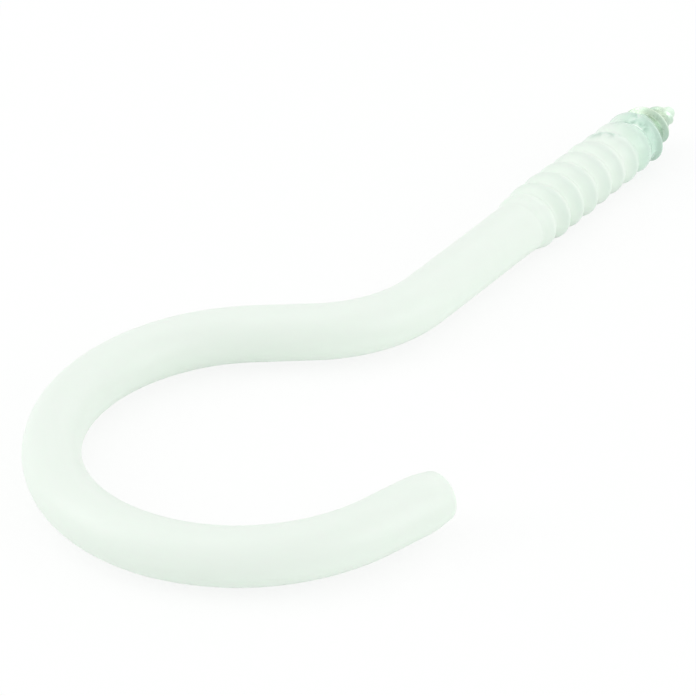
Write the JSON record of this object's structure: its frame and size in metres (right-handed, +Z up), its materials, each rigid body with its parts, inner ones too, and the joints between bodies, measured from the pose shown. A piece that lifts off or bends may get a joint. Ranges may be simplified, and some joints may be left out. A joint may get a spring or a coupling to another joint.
{
  "type": "screw hook",
  "caption": "Question-mark screw hook: vinyl-coated steel wire bent to a round bow with a flared free end, on a straight shank with a wood-screw thread and bare gimlet point.",
  "frame": {"origin": "on the surface the hook lies on, under the middle of its box", "axes": "+X along the shank towards the point; +Z up from the surface; the bow's free end is on the -Y side"},
  "size_m": [0.1103, 0.0496, 0.0077],
  "materials": {
    "steel": "bare drawn and rolled steel, dark and shiny",
    "vinyl": "soft white dip-coated vinyl, satin"
  },
  "bodies": {
    "root": {"steel_hook": "steel", "vinyl_coat": "vinyl"}
  },
  "joints": []
}
